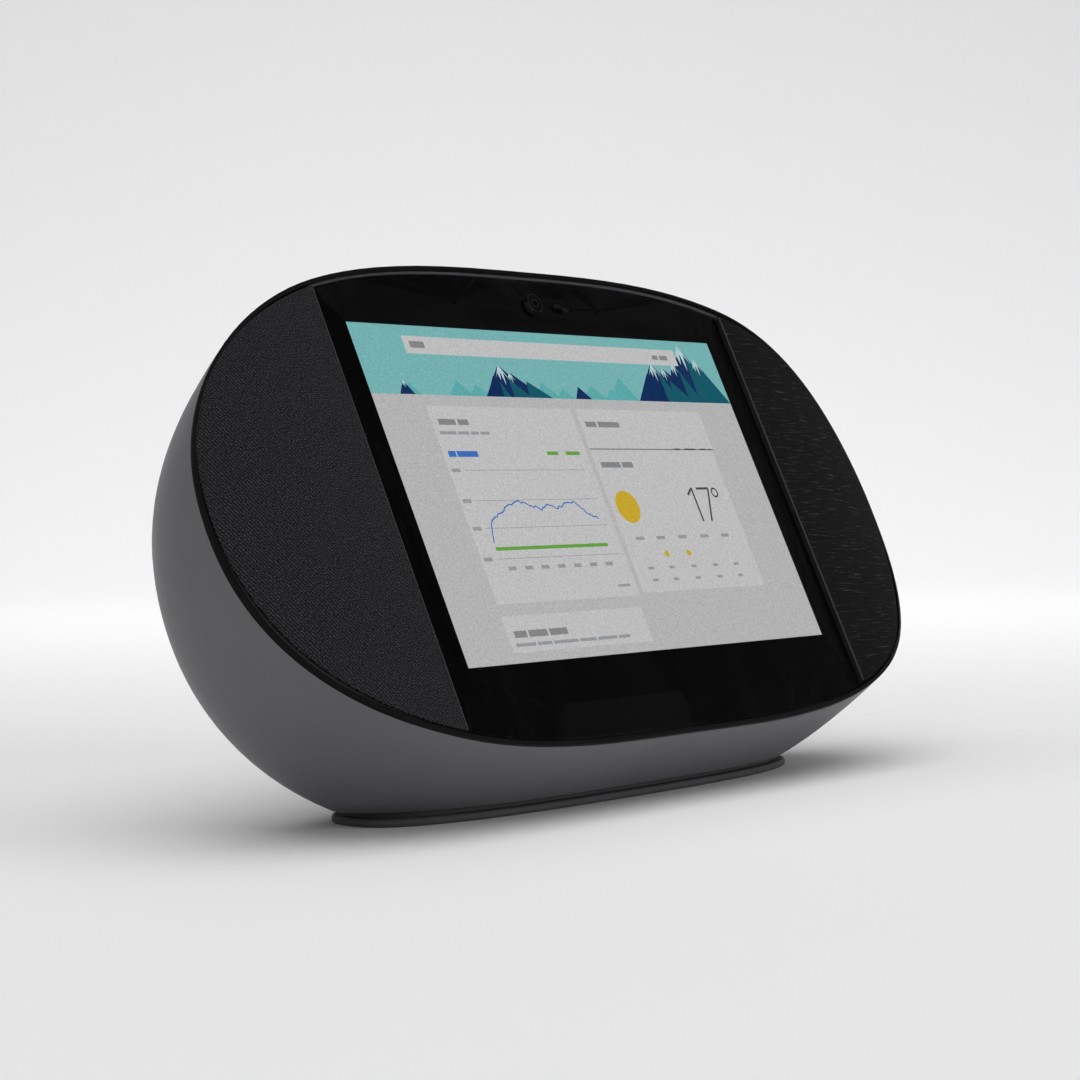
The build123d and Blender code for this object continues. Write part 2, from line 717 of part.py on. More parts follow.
RADIATOR_PARTS = {
    "radiator_frame": radiator_frame, "radiator_surround": radiator_surround,
    "radiator_plate": radiator_plate, "radiator_weight": radiator_weight,
}
PER_DRIVER = {
    "basket": driver_basket, "surround": driver_surround, "cone": driver_cone,
    "dust_cap": dust_cap, "voice_coil": voice_coil,
}
DRIVER_PAIRS = {
    "driver_gaskets": driver_gasket, "driver_yokes": driver_yoke,
    "driver_spiders": lambda: tube(16.1, 7.3, -11.9, -11.3),
    "driver_magnets": lambda: tube(18.5, 9.5, -23.4, -16.4),
    "driver_top_plates": lambda: tube(17.0, 7.7, -16.4, -13.2),
}


def pieces(made):
    return made if isinstance(made, list) else [made]


for name, make in WORLD_PARTS.items():
    save(name, *pieces(make()))
for name, make in FRONT_PARTS.items():
    save(name, *[on_front(piece) for piece in pieces(make())])
for name, frame in {"volume_up": VOLUME_UP, "volume_down": VOLUME_DOWN}.items():
    save(name, on_front(volume_button(frame)))
for name, make in RADIATOR_PARTS.items():
    save(name, on_front(RADIATOR.location * make()))
for word, side in SIDES.items():
    save(f"{word}_grille_frame", on_front(grille_frame(side)))
    save(f"{word}_grille_cloth", on_front(grille_cloth(side)))
    for name, make in PER_DRIVER.items():
        save(f"{word}_{name}", on_front(driver_frame(side).location * make()))
for name, make in DRIVER_PAIRS.items():
    save(name, *[on_front(driver_frame(side).location * make()) for side in SIDES.values()])
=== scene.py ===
"""Smart speaker with a leaning touch display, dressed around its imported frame."""
import json
import math
import random

import bmesh
import bpy
from mathutils import Matrix, Vector


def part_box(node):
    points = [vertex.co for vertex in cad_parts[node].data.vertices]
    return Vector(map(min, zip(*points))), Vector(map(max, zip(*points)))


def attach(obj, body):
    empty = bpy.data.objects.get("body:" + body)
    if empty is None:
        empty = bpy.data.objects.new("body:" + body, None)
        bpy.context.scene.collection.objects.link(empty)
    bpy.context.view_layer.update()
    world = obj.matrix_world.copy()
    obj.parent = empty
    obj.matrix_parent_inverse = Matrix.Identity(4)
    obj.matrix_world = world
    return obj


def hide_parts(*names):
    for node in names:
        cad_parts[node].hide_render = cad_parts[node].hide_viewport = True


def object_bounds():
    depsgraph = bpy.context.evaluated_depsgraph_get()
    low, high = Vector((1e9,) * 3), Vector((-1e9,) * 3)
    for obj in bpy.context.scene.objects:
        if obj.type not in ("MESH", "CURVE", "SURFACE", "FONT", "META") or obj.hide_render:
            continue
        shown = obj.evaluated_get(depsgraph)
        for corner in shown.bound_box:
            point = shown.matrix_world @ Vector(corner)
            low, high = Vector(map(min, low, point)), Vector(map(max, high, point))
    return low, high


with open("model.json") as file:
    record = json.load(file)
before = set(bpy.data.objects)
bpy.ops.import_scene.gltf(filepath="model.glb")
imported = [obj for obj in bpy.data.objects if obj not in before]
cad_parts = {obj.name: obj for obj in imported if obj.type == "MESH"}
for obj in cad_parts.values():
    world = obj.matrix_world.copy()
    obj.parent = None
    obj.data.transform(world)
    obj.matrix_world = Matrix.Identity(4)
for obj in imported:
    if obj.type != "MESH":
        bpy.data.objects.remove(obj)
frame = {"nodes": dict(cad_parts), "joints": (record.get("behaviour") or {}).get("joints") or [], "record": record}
CAD_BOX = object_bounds()

# ---------------------------------------------------------------- driving dimensions, millimetres
MM = 0.001
LEAN = math.radians(25.15)          # the front leans back by this angle
LCD_FRONT, LCD_T, LCD_DROP = -2.0, 2.8, -1.5
SCREEN_W, SCREEN_H = 172.3, 107.7
RIM_X, RIM_T, RIM_V = 157.1, 77.7, -3.1
RIM_UPPER, RIM_LOWER = (2.99, 2.24), (3.62, 2.09)   # powers of the rim's outline, across and up
GLASS_HALF, WING_BEND = 96.4, 8.64  # the flat glass ends here, and the wings bend back by this
CLOTH_START, CLOTH_INSET, CLOTH_T = 96.8, 1.9, 0.8
TRIM_START, TRIM_T, TRIM_DEPTH, TRIM_BACK, TRIM_SHORT = 96.6, 0.12, 0.6, -0.58, 0.6
SENSOR_V, MIC_X, LIGHT_X = 63.6, 33.9, 14.7   # the row of sensors above the picture

UP = Vector((0, math.sin(LEAN), math.cos(LEAN)))
OUT = Vector((0, -math.cos(LEAN), math.sin(LEAN)))
LCD_LOW, LCD_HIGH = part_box("lcd_panel")
FRONT_MIDDLE = (LCD_LOW + LCD_HIGH) / 2 - (LCD_DROP * UP + (LCD_FRONT - LCD_T / 2) * OUT) * MM


def at_front(x, v, w):
    """A point given across, up and out of the front, in millimetres, as a place in metres."""
    return FRONT_MIDDLE + (Vector((x, 0, 0)) + v * UP + w * OUT) * MM


# ---------------------------------------------------------------- material tools
def linear(code):
    """An sRGB hex colour as the linear colour that shaders take."""
    parts = [int(code[i:i + 2], 16) / 255 for i in (1, 3, 5)]
    return (*[p / 12.92 if p <= 0.04045 else ((p + 0.055) / 1.055) ** 2.4 for p in parts], 1.0)


def node(material, kind, inputs=None, **settings):
    """Adds a node. Inputs are values, or the sockets that lead to them, by name or number."""
    tree = material.node_tree
    made = tree.nodes.new("ShaderNode" + kind)
    for name, value in settings.items():
        setattr(made, name, value)
    for key, value in (inputs or {}).items():
        if isinstance(value, bpy.types.NodeSocket):
            tree.links.new(value, made.inputs[key])
        else:
            made.inputs[key].default_value = value
    return made


def blank(name, **shader):
    """A material with one Principled shader, whose uniform values are set by name."""
    material = bpy.data.materials.new(name)
    material.use_nodes = True
    principled = material.node_tree.nodes["Principled BSDF"]
    for key, value in shader.items():
        principled.inputs[key.replace("_", " ")].default_value = value
    return material, principled


def join(material, source, socket):
    material.node_tree.links.new(source, socket)


def dress(material, principled, pattern, dark, light, roughness, relief):
    """Leads one pattern to colour, gloss and relief. The relief is in millimetres."""
    tone = node(material, "Mix", {0: pattern, 6: linear(dark), 7: linear(light)}, data_type="RGBA")
    join(material, tone.outputs[2], principled.inputs["Base Color"])
    gloss = node(material, "MapRange", {"Value": pattern, "To Min": roughness[0], "To Max": roughness[1]})
    join(material, gloss.outputs[0], principled.inputs["Roughness"])
    if relief:
        bump = node(material, "Bump", {"Height": pattern, "Distance": relief * MM, "Strength": 1.0})
        join(material, bump.outputs[0], principled.inputs["Normal"])
    return material


def grained(name, dark, light, roughness, grain, relief, stretch=(1, 1, 1), **shader):
    """A fine random grain, of spots that are grain millimetres across, drawn out by the stretch."""
    material, principled = blank(name, **shader)
    place = node(material, "TexCoord").outputs["Object"]
    place = node(material, "Mapping", {"Vector": place, "Scale": [1 / s for s in stretch]}).outputs[0]
    spots = node(material, "TexNoise", {"Vector": place, "Scale": 1 / (grain * MM), "Detail": 4.0})
    clouds = node(material, "TexNoise", {"Vector": place, "Scale": 0.04 / (grain * MM), "Detail": 2.0})
    both = node(material, "Mix", {0: 0.35, 2: spots.outputs[0], 3: clouds.outputs[0]})
    return dress(material, principled, both.outputs[0], dark, light, roughness, relief)


WAVE_TURN = math.pi / 10            # a wave texture of scale 1 repeats after this length


def flat_faced(material):
    """Shades each face flat, so that a polished pane reflects without waves."""
    principled = material.node_tree.nodes["Principled BSDF"]
    join(material, node(material, "NewGeometry").outputs["True Normal"], principled.inputs["Normal"])
    return material


def lined(name, dark, light, roughness, pitch, relief, direction="X", rings=False, **shader):
    """Fine parallel lines or rings, pitch millimetres apart, unevenly deep."""
    material, principled = blank(name, **shader)
    place = node(material, "TexCoord").outputs["Object"]
    kind = {"wave_type": "RINGS", "rings_direction": direction}
    if not rings:
        kind = {"wave_type": "BANDS", "bands_direction": direction}
    inputs = {"Vector": place, "Scale": WAVE_TURN / (pitch * MM), "Distortion": 0.4}
    lines = node(material, "TexWave", inputs, **kind)
    dirt = node(material, "TexNoise", {"Vector": place, "Scale": 0.3 / (pitch * MM), "Detail": 3.0})
    both = node(material, "Mix", {0: 0.4, 2: lines.outputs["Fac"], 3: dirt.outputs[0]})
    return dress(material, principled, both.outputs[0], dark, light, roughness, relief)


# ---------------------------------------------------------------- materials
def speaker_cloth():
    """Woven polyester twill: steep diagonal ridges of matt thread, with a few slubs that run across.

    It reads the piece's UV map, which is in millimetres, so the ridges follow the cloth. The right
    wing is painted darker, a painted shade for the side turned away from the light, and its slubs are drawn
    brighter there as painted highlight streaks.
    """
    material, principled = blank("polyester_twill_weave", Specular_IOR_Level=0.12)
    place = node(material, "TexCoord").outputs["UV"]
    ridge_pitch, float_length, ridge_turn = 0.9, 0.6, math.radians(-32)
    wings = {"From Min": -60.0, "From Max": 60.0}   # from the left wing's UV to the right wing's
    wobble = node(material, "TexNoise", {"Vector": place, "Scale": 0.9, "Detail": 2.0})
    moved = node(material, "VectorMath", {0: wobble.outputs[1], "Scale": 0.45}, operation="SCALE")
    bent = node(material, "VectorMath", {0: place, 1: moved.outputs[0]}, operation="ADD")
    turn = {"Vector": bent.outputs[0], "Rotation": (0, 0, ridge_turn)}
    diagonal = node(material, "Mapping", turn).outputs[0]
    ridges = node(material, "TexWave", {"Vector": diagonal, "Scale": WAVE_TURN / ridge_pitch})
    across = {"Vector": bent.outputs[0], "Scale": WAVE_TURN / float_length}
    floats = node(material, "TexWave", across, bands_direction="Y")
    weave = node(material, "Mix", {0: 0.35, 2: ridges.outputs["Fac"], 3: floats.outputs["Fac"]})
    fuzz = node(material, "TexNoise", {"Vector": place, "Scale": 2.2, "Detail": 5.0, "Roughness": 0.8})
    specks = node(material, "MapRange", {"Value": fuzz.outputs[0], "From Min": 0.43, "From Max": 0.60})
    shade = node(material, "Math", {0: weave.outputs[0], 1: specks.outputs[0]}, operation="MULTIPLY")
    yarn = node(material, "Mapping", {"Vector": place, "Scale": (0.09, 1.5, 1)}).outputs[0]
    slubs = node(material, "TexNoise", {"Vector": yarn, "Scale": 1.0, "Detail": 5.0, "Roughness": 0.75})
    bright = node(material, "MapRange", {"Value": slubs.outputs[0], "From Min": 0.57, "From Max": 0.74})
    reach = node(material, "SeparateXYZ", {0: place}).outputs[0]
    # Painted shade and painted highlight: the right wing's colour drops to a tenth of the left's, and its slubs
    # are drawn nine times as bright.
    right_wing_painted_shade = node(material, "MapRange", {"Value": reach, **wings, "To Min": 1.0, "To Max": 0.1})
    right_wing_painted_highlight = node(material, "MapRange", {"Value": reach, **wings, "To Min": 0.1, "To Max": 0.9})
    tone = node(material, "Math", {0: shade.outputs[0], 1: right_wing_painted_shade.outputs[0]}, operation="MULTIPLY")
    lit = node(material, "Math", {0: bright.outputs[0], 1: right_wing_painted_highlight.outputs[0]}, operation="MULTIPLY")
    total = node(material, "Math", {0: tone.outputs[0], 1: lit.outputs[0]}, operation="ADD", use_clamp=True)
    return dress(material, principled, total.outputs[0], "#030304", "#59595d", (0.95, 0.85), 0.2)


def lit_screen(name, code):
    """A lit liquid-crystal picture under bonded glass: its own light, a fine dot grain and a glossy top."""
    material, principled = blank(name, Roughness=0.08, Coat_Weight=0.6, Coat_Roughness=0.03)
    principled.inputs["Base Color"].default_value = linear("#050505")
    place = node(material, "TexCoord").outputs["Object"]
    dots = node(material, "TexNoise", {"Vector": place, "Scale": 1 / (0.55 * MM), "Detail": 2.0})
    spread = {"From Min": 0.3, "From Max": 0.7, "To Min": 0.92, "To Max": 1.22}
    grain = node(material, "MapRange", {"Value": dots.outputs[0], **spread})
    tint = node(material, "VectorMath", {0: linear(code)[:3], "Scale": grain.outputs[0]}, operation="SCALE")
    join(material, tint.outputs[0], principled.inputs["Emission Color"])
    principled.inputs["Emission Strength"].default_value = 1.0
    return material


def circuit_board():
    """Green solder mask over glass epoxy: thin raised copper tracks under a glossy lacquer."""
    material, principled = blank("solder_masked_epoxy_board", Coat_Weight=0.5, Coat_Roughness=0.15)
    place = node(material, "TexCoord").outputs["Object"]
    tones = {"Color1": (0, 0, 0, 1), "Color2": (0.1, 0.1, 0.1, 1), "Mortar": (1, 1, 1, 1)}
    track_spacing = 9 * MM
    layout = {"Vector": place, "Scale": 1 / track_spacing, "Mortar Size": 0.03, **tones}
    tracks = node(material, "TexBrick", layout)
    return dress(material, principled, tracks.outputs[0], "#0b3d24", "#1d6b40", (0.4, 0.3), 0.03)


def paint_rim_shade(material):
    """Masks the paint to black on the rim's front edge as painted shade, with a duller gloss, in a line that
    follows the bend of the wings.
    """
    principled = material.node_tree.nodes["Principled BSDF"]
    paint = principled.inputs["Base Color"].links[0].from_socket
    place = node(material, "TexCoord").outputs["Object"]
    outward = node(material, "VectorMath", {0: place, 1: OUT / MM}, operation="DOT_PRODUCT")
    from_middle = {0: outward.outputs["Value"], 1: FRONT_MIDDLE.dot(OUT) / MM}
    height = node(material, "Math", from_middle, operation="SUBTRACT")
    x = node(material, "SeparateXYZ", {0: place}).outputs[0]
    reach = node(material, "Math", {0: x}, operation="ABSOLUTE")
    wing = {"Value": reach.outputs[0], "From Min": GLASS_HALF * MM, "From Max": RIM_X * MM}
    share = node(material, "MapRange", wing)
    bend = node(material, "Math", {0: share.outputs[0], 1: 2.0}, operation="POWER")
    from_wing = {0: bend.outputs[0], 1: WING_BEND, 2: height.outputs[0]}
    level = node(material, "Math", from_wing, operation="MULTIPLY_ADD")
    edge = node(material, "MapRange", {"Value": level.outputs[0], "From Min": -1.0, "From Max": -0.85})
    shine = node(material, "MapRange", {"Value": edge.outputs[0], "To Min": 0.5, "To Max": 0.08})
    join(material, shine.outputs[0], principled.inputs["Specular IOR Level"])
    # Painted shade: black over the shell's paint along the rim's front edge.
    tone = node(material, "Mix", {0: edge.outputs[0], 6: paint, 7: linear("#050505")}, data_type="RGBA")
    join(material, tone.outputs[2], principled.inputs["Base Color"])
    return material


# Soft-touch painted ABS: a sprayed satin skin, so that highlights spread wide and edges glow softly.
SOFT_TOUCH = grained("soft_touch_painted_abs", "#545457", "#5f5f62", (0.48, 0.42), 0.35, 0.008)
# The rim's front edge gets a black line of painted shade.
paint_rim_shade(SOFT_TOUCH)
# Moulded ABS left as it came out of the tool: dark and matt, seen only in gaps and recesses.
DARK_ABS = grained("dark_moulded_abs", "#0c0c0d", "#161617", (0.7, 0.55), 0.5, 0.02)
# Moulded nitrile rubber: dull, with a dusty speckle.
RUBBER = grained("moulded_nitrile_rubber", "#2b2b2d", "#434346", (0.8, 0.65), 0.4, 0.03)
# Zinc-plated steel plate: a cloudy grey metal.
ZINC_PLATE = grained("zinc_plated_steel", "#8a8d91", "#b4b7ba", (0.5, 0.3), 1.5, 0.01, Metallic=1.0)
# Black zinc screws: a dark oily metal.
BLACK_ZINC = grained("black_zinc_screw_steel", "#2a2a2c", "#4b4b4e", (0.45, 0.3), 0.4, 0.01, Metallic=1.0)
# Pressed zinc-coated sheet: rolled one way, so its streaks run along X.
PRESSED_SHEET = grained("rolled_zinc_sheet", "#9a9da0", "#c3c6c8", (0.45, 0.28), 0.3, 0.004,
                        stretch=(14, 1, 1), Metallic=1.0)
# Polyimide ribbon: amber film over fine copper lines.
RIBBON = lined("polyimide_ribbon_cable", "#8a4a12", "#c47a2c", (0.4, 0.25), 1.0, 0.02)
# Closed-cell foam tape: black, dull and pitted.
FOAM = grained("closed_cell_foam_tape", "#0b0b0c", "#1c1c1d", (1.0, 0.85), 0.6, 0.08)
# Moulded housings of bought-in parts: black and slightly glossy.
GLOSS_BLACK = grained("glossy_black_nylon", "#08080a", "#121215", (0.35, 0.2), 0.8, 0.005)
# Epoxy chip packages: charcoal, faintly sparkling.
CHIP_EPOXY = grained("moulded_chip_epoxy", "#161618", "#28282a", (0.6, 0.45), 0.25, 0.01)
# Extruded aluminium: fine die lines along its length.
EXTRUSION = lined("extruded_aluminium", "#a7a9ab", "#cfd1d3", (0.4, 0.25), 0.4, 0.006, Metallic=1.0)
# Turned brass: tight tool rings.
TURNED_BRASS = lined("turned_brass", "#a37c36", "#d3aa5c", (0.35, 0.2), 0.25, 0.005, "Z", Metallic=1.0)
# Moulded polycarbonate controls: the shell's colour, a little smoother.
CONTROL_PC = grained("satin_polycarbonate", "#262628", "#303032", (0.42, 0.34), 0.3, 0.006)
# Resin-treated cotton spider: tan cloth pressed into rings.
SPIDER = lined("resin_treated_cotton", "#8a6436", "#c99a5e", (0.85, 0.7), 1.6, 0.15, "Y", rings=True)
# Sintered ferrite: charcoal ceramic with a coarse ground face.
FERRITE = grained("sintered_ferrite", "#1c1c1e", "#38383b", (0.75, 0.5), 0.7, 0.03)
# Coated paper: felted fibres under a thin black coat.
CONE_PAPER = grained("coated_cone_paper", "#101011", "#2a2a2b", (0.85, 0.65), 0.7, 0.06, stretch=(3, 1, 1))
# Enamelled copper wire, wound: a turn every third of a millimetre.
COPPER = lined("enamelled_copper_winding", "#7d3a16", "#c4713a", (0.35, 0.2), 0.33, 0.05, "Y", Metallic=1.0)
# Radiator frame and plate: satin black moulding.
RADIATOR_ABS = grained("satin_black_abs", "#161617", "#232324", (0.55, 0.42), 0.4, 0.012)
# Black film printed on the back of the glass: deep black under the polished pane.
BEZEL_FILM = grained("printed_bezel_film", "#040404", "#060606", (0.03, 0.02), 2.0, 0)
# Toughened clear glass: almost unseen, its gloss is carried by the film and the panel bonded behind it.
CLEAR_GLASS = grained("toughened_clear_glass", "#040506", "#07080a", (0.02, 0.01), 3.0, 0, Alpha=0.1)
# Coated lens glass: near black with a violet bloom.
LENS_GLASS = grained("coated_lens_glass", "#07070c", "#12101e", (0.04, 0.02), 2.0, 0, Coat_Weight=1.0,
                     Coat_Roughness=0.01)

for pane in (BEZEL_FILM, CLEAR_GLASS):
    flat_faced(pane)

FINISHES = {
    "soft_touch_shell": SOFT_TOUCH, "base_black": DARK_ABS, "foot_rubber": RUBBER,
    "ballast_steel": ZINC_PLATE, "screw_steel": BLACK_ZINC, "front_glass": CLEAR_GLASS,
    "bezel_film": BEZEL_FILM, "lcd": lit_screen("lcd_page", "#b8b8b9"), "bracket_steel": PRESSED_SHEET,
    "ribbon": RIBBON, "foam_tape": FOAM, "grille_fabric": speaker_cloth(), "sensor_black": GLOSS_BLACK,
    "lens_glass": LENS_GLASS, "board_green": circuit_board(), "chip_black": CHIP_EPOXY,
    "sink_aluminium": EXTRUSION, "brass_posts": TURNED_BRASS, "control_plastic": CONTROL_PC,
    "spider_cloth": SPIDER, "ferrite": FERRITE, "cone_paper": CONE_PAPER, "voice_copper": COPPER,
    "radiator_black": RADIATOR_ABS,
}
for subpart in frame["record"]["subparts"]:
    for place in frame["nodes"][subpart["node"]].material_slots:
        place.material = FINISHES[subpart["material_slot"]]


# ---------------------------------------------------------------- piece tools
def piece(name, mesh, material, body):
    """Makes an object of a finished bmesh, which rides on a body."""
    data = bpy.data.meshes.new(name)
    mesh.to_mesh(data)
    mesh.free()
    data.materials.append(material)
    made = bpy.data.objects.new(name, data)
    bpy.context.scene.collection.objects.link(made)
    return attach(made, body)


def smooth(made, sharp_angle=35):
    made.data.shade_smooth()
    made.data.set_sharp_from_angle(angle=math.radians(sharp_angle))


# ---------------------------------------------------------------- cloth wings
def rim_point(angle, inset):
    """The rim's outline at an angle, moved in by an inset along its own normal."""
    p, q = RIM_UPPER if angle >= 0 else RIM_LOWER
    x = RIM_X * math.cos(angle) ** (2 / p)
    v = math.copysign(RIM_T * abs(math.sin(angle)) ** (2 / q), angle)
    nx = p / RIM_X * (x / RIM_X) ** (p - 1)
    nv = math.copysign(q / RIM_T * abs(v / RIM_T) ** (q - 1), v)
    size = math.hypot(nx, nv)
    return x - inset * nx / size, RIM_V + v - inset * nv / size


def wing_corner(sign):
    """The outline's angle where it meets the cloth's straight edge beside the glass."""
    low, high = 0.0, math.pi / 2
    for _ in range(40):
        middle = (low + high) / 2
        inside = rim_point(sign * middle, CLOTH_INSET)[0] > CLOTH_START
        low, high = (middle, high) if inside else (low, middle)
    return sign * low


def cloth_wing(word, side):
    """Speaker cloth stretched over one wing: rows run across, from the glass to the rim's curve."""
    rows, columns = 96, 24
    mesh = bmesh.new()
    bmesh.ops.create_grid(mesh, x_segments=columns, y_segments=rows, size=1)
    uv = mesh.loops.layers.uv.new("weave")
    low, high = wing_corner(-1), wing_corner(1)
    flat = {}
    for vertex in mesh.verts:
        share, turn = (vertex.co.x + 1) / 2, (vertex.co.y + 1) / 2
        edge, v = rim_point(low + (high - low) * turn, CLOTH_INSET)
        x = CLOTH_START + (edge - CLOTH_START) * share
        w = -WING_BEND * ((x - GLASS_HALF) / (RIM_X - GLASS_HALF)) ** 2
        flat[vertex] = (side * x, v)
        vertex.co = at_front(side * x, v, w)
    for face in mesh.faces:
        for loop in face.loops:
            loop[uv].uv = flat[loop.vert]
    bmesh.ops.remove_doubles(mesh, verts=mesh.verts, dist=0.02 * MM)
    bmesh.ops.recalc_face_normals(mesh, faces=mesh.faces)
    if mesh.faces[0].normal.dot(OUT) < 0:
        bmesh.ops.reverse_faces(mesh, faces=mesh.faces)
    area = sum(face.calc_area() for face in mesh.faces)
    made = piece(f"{word}_cloth_wing", mesh, FINISHES["grille_fabric"], "housing")
    thickness = made.modifiers.new("thickness", "SOLIDIFY")
    thickness.thickness = CLOTH_T * MM
    thickness.offset = -1
    edge = made.modifiers.new("edge", "BEVEL")
    edge.width = 0.35 * MM
    edge.segments = 3
    edge.limit_method = "ANGLE"
    edge.angle_limit = math.radians(50)
    smooth(made)
    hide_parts(f"{word}_grille_cloth")


def wing_edge(word, side):
    """The tape on a wing's straight edge, which faces the glass. It stops short of the rim."""
    low, high = (rim_point(wing_corner(sign), CLOTH_INSET + TRIM_SHORT)[1] for sign in (-1, 1))
    mesh = bmesh.new()
    bmesh.ops.create_cube(mesh, size=1)
    for vertex in mesh.verts:
        x, v, w = (c + 0.5 for c in vertex.co)
        x = side * (TRIM_START + TRIM_T * x)
        vertex.co = at_front(x, low + (high - low) * v, TRIM_BACK + TRIM_DEPTH * w)
    bmesh.ops.recalc_face_normals(mesh, faces=mesh.faces)
    piece(f"{word}_wing_trim", mesh, WING_TRIM, "housing")


# Grey polyester tape folded over the cloth's cut edge: a fine rib across its width.
WING_TRIM = lined("polyester_edge_tape", "#39393b", "#4c4c4f", (0.8, 0.6), 0.5, 0.01, "Z")
for word, side in {"left": -1, "right": 1}.items():
    cloth_wing(word, side)
    wing_edge(word, side)


# ---------------------------------------------------------------- the page on the screen
LEVEL = 0.022                       # each layer of the page stands this much in front of the last


def cut_out(mesh, points, level):
    """A flat shape with a drawn outline, as a thin closed plate on one level of the page."""
    back = LCD_FRONT + LEVEL * (level - 1)
    face = mesh.faces.new([mesh.verts.new(at_front(x, v, back)) for x, v in points])
    raised = bmesh.ops.extrude_face_region(mesh, geom=[face], use_keep_orig=True)
    corners = [g for g in raised["geom"] if isinstance(g, bmesh.types.BMVert)]
    bmesh.ops.translate(mesh, verts=corners, vec=OUT * LEVEL * 0.9 * MM)


def bar(x0, x1, v0, v1):
    return [(x0, v0), (x1, v0), (x1, v1), (x0, v1)]


def disc(x, v, radius, count=40):
    turns = [2 * math.pi * i / count for i in range(count)]
    return [(x + radius * math.cos(t), v + radius * math.sin(t)) for t in turns]


def words(x, v, height, widths, gap=0.9):
    """A line of plain blocks that stand for words."""
    blocks = []
    for width in widths:
        blocks.append(bar(x, x + width, v, v + height))
        x += width + gap
    return blocks


def plates(name, shapes, level, material):
    """Several flat shapes on one level, as one piece of the housing."""
    mesh = bmesh.new()
    for points in shapes:
        cut_out(mesh, points, level)
    bmesh.ops.recalc_face_normals(mesh, faces=mesh.faces)
    piece(name, mesh, material, "housing")


def page_layer(name, code, shapes, level):
    plates(name, shapes, level, lit_screen(name, code))


def stroke(start, end, thickness):
    """One straight piece of a drawn line, as the outline of a bar between two points."""
    along = (Vector(end) - Vector(start)).normalized() * thickness / 2
    across = Vector((-along.y, along.x))
    return [Vector(start) + across, Vector(end) + across, Vector(end) - across, Vector(start) - across]


def line(points, thickness, closed=False):
    """A drawn line through its points, as one bar after another."""
    ends = points[1:] + points[:1] if closed else points[1:]
    return [stroke(*pair, thickness) for pair in zip(points, ends)]


HALF_W, HALF_H = SCREEN_W / 2, SCREEN_H / 2
SKY_LOW = 31.0
page_layer("screen_page", "#bfbfc0", [bar(-HALF_W, HALF_W, -HALF_H, HALF_H)], 1)
page_layer("screen_sky", "#7cbcbd", [bar(-HALF_W, HALF_W, SKY_LOW, HALF_H)], 2)


def peak(x, top, left, right):
    return [(x - left, SKY_LOW), (x + right, SKY_LOW), (x, top)]


FAR = [(-69, 34.9, 3, 4), (-48, 36.1, 5, 6), (-40, 35, 4, 5), (-9, 36.5, 5, 7), (14.7, 35.8, 6, 6),
       (30.1, 39.1, 8, 7), (24, 35, 4, 5), (0, 34.6, 4, 5)]
NEAR = [(-71, 35.6, 3, 3.4), (-26.6, 42.0, 10.2, 12), (-22.7, 39.6, 6, 13), (-30.5, 38.2, 6, 5),
        (8, 35.4, 3, 5), (46.0, 41.0, 9, 9), (50, 45.0, 13, 12), (55.2, 43.6, 10, 16),
        (61.5, 45.6, 8, 10), (68.1, 52.4, 13, 14), (74.5, 47.4, 10, 11.6)]
SIDES = [(-16.1, 36.7, 1, 10), (-24, 37.4, 0, 8), (-28.6, 36.4, 0, 3), (52.4, 42.4, 0, 7), (57, 39, 1, 9),
         (64, 43.0, 0, 7), (70.4, 49.4, 1, 12), (76, 45.2, 1, 10)]
SNOW = [(-26.6, 42.0, 4.6), (-22.7, 39.6, 2.6), (50, 45.0, 4.4), (55.2, 43.6, 3.2), (61.5, 45.6, 3.4),
        (68.1, 52.4, 6.4), (74.5, 47.4, 4.2), (-71, 35.6, 1.6)]


def streak(x, top, drop):
    """Snow on a peak, running down the slope in ragged tongues."""
    shares = [(-0.62, 1.0), (-0.34, 0.62), (-0.2, 1.15), (-0.04, 0.5), (0.16, 1.5), (0.24, 0.6),
              (0.66, 1.1)]
    return [(x + drop * dx, top - drop * dv) for dx, dv in shares] + [(x, top)]


page_layer("screen_far_hills", "#5fb3b4", [peak(*p) for p in FAR], 3)
page_layer("screen_near_hills", "#0a2c5c", [peak(*p) for p in NEAR], 4)
page_layer("screen_hill_sides", "#0b5a6b", [peak(*p) for p in SIDES], 5)
page_layer("screen_snow", "#b9d6d8", [streak(*p) for p in SNOW], 6)

CARDS = [bar(-65, 65, 44.5, 50.3), bar(-65, 0, -35.7, 27.4), bar(2.3, 66, 13.9, 27.5),
         bar(2.3, 65.3, -35, 13.2), bar(-65.5, -2, -50.7, -39.5)]
page_layer("screen_cards", "#cbcbcc", CARDS, 6)
GREY = (
    words(-62.3, 21.2, 1.9, [7.4, 4.6]) + words(4.7, 21.2, 1.9, [5.2, 10.6])
    + words(4.9, 7.2, 1.9, [9.4, 5.4]) + words(-62.7, -46.2, 2.1, [5.4, 8.2, 8.0])
    + words(-62.6, 46.4, 2.2, [6.2]) + words(52.2, 46.4, 1.6, [3.0, 4.2])
)
page_layer("screen_titles", "#8b8d8f", GREY, 7)
RULES = (6.5, -3.3, -12.1, -21.8)   # heights of the graph's rules
DAYS = (8.2, 18.6, 29.8, 41.2, 52.2)    # left ends of the forecast's columns
